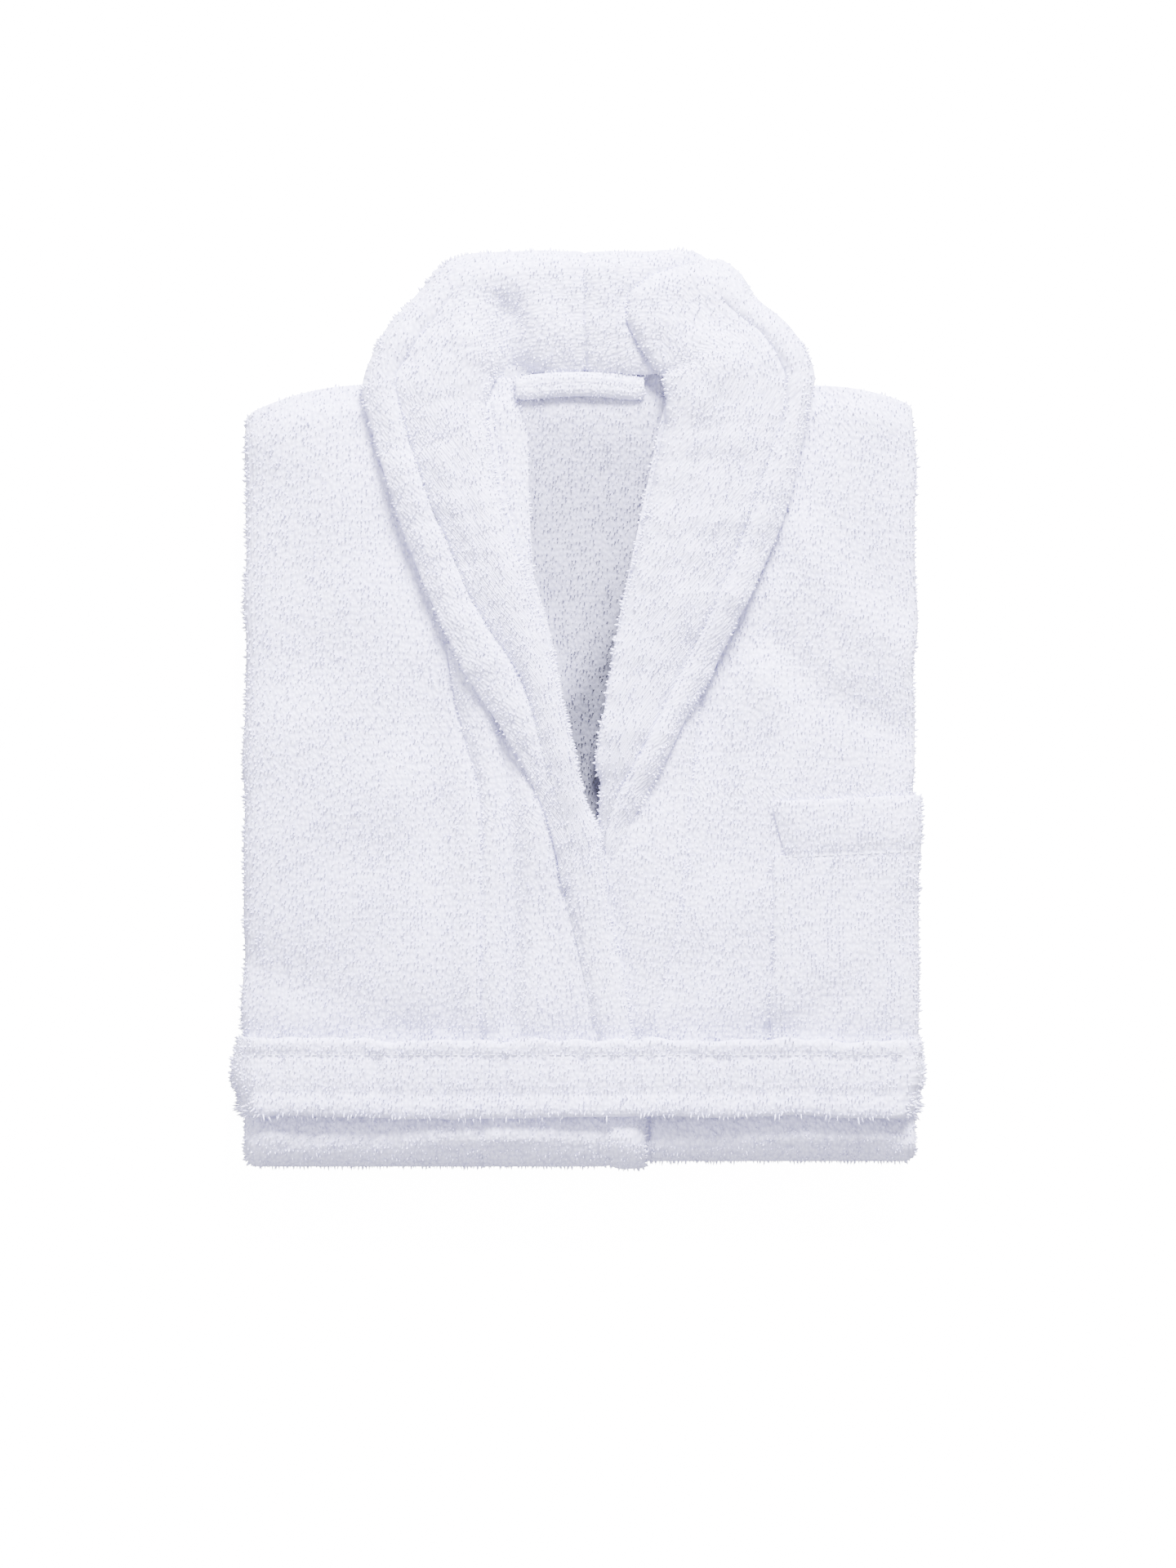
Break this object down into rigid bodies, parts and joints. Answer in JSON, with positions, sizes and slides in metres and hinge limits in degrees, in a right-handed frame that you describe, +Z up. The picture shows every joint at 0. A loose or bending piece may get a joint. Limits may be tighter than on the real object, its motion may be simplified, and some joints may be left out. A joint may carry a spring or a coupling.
{
  "type": "bathrobe",
  "caption": "Terry bathrobe with a shawl collar, folded flat on its back with the sleeves and skirt behind and its belt wound round the bundle.",
  "frame": {"origin": "centre of the bounding box, on the surface that the folded robe lies on", "axes": "+Y towards the collar, +X towards the wearer's left (the pocket side), +Z up"},
  "size_m": [0.425, 0.562, 0.0525],
  "materials": {
    "terry_body": "white cotton terry, loops about 3 mm long",
    "terry_collar": "white cotton terry, doubled and topstitched",
    "terry_trim": "white cotton terry, short loops",
    "terry_belt": "white cotton terry, doubled and topstitched"
  },
  "bodies": {
    "robe": {"back_panel": "terry_body", "right_front": "terry_body", "left_front": "terry_body", "right_front_band": "terry_collar", "left_front_band": "terry_collar", "right_collar": "terry_collar", "left_collar": "terry_collar", "pocket": "terry_body", "pocket_cuff": "terry_trim", "right_belt_loop": "terry_trim", "left_belt_loop": "terry_trim", "right_sleeve": "terry_body", "left_sleeve": "terry_body", "right_cuff": "terry_trim", "left_cuff": "terry_trim"},
    "belt": {"belt": "terry_belt"},
    "hanging_loop": {"hanging_loop": "terry_trim"},
    "right_lapel": {"right_lapel": "terry_collar", "right_lapel_under": "terry_collar"},
    "left_lapel": {"left_lapel": "terry_collar", "left_lapel_under": "terry_collar"}
  },
  "joints": [
    {"name": "belt_slide", "type": "slide", "parent": "robe", "child": "belt", "axis": [0, -1, 0], "range_m": [0, 0.15]},
    {"name": "loop_flip", "type": "hinge", "parent": "robe", "child": "hanging_loop", "pos_m": [0, 0.207, 0.0472], "axis": [-1, 0, 0], "range_deg": [0, 150]},
    {"name": "right_lapel_turn", "type": "hinge", "parent": "robe", "child": "right_lapel", "pos_m": [0.012, -0.074, 0.0462], "axis": [-0.245, 0.9695, 0], "range_deg": [0, 85]},
    {"name": "left_lapel_turn", "type": "hinge", "parent": "robe", "child": "left_lapel", "pos_m": [0.005, -0.044, 0.0429], "axis": [-0.2093, -0.9779, 0], "range_deg": [0, 85]}
  ]
}
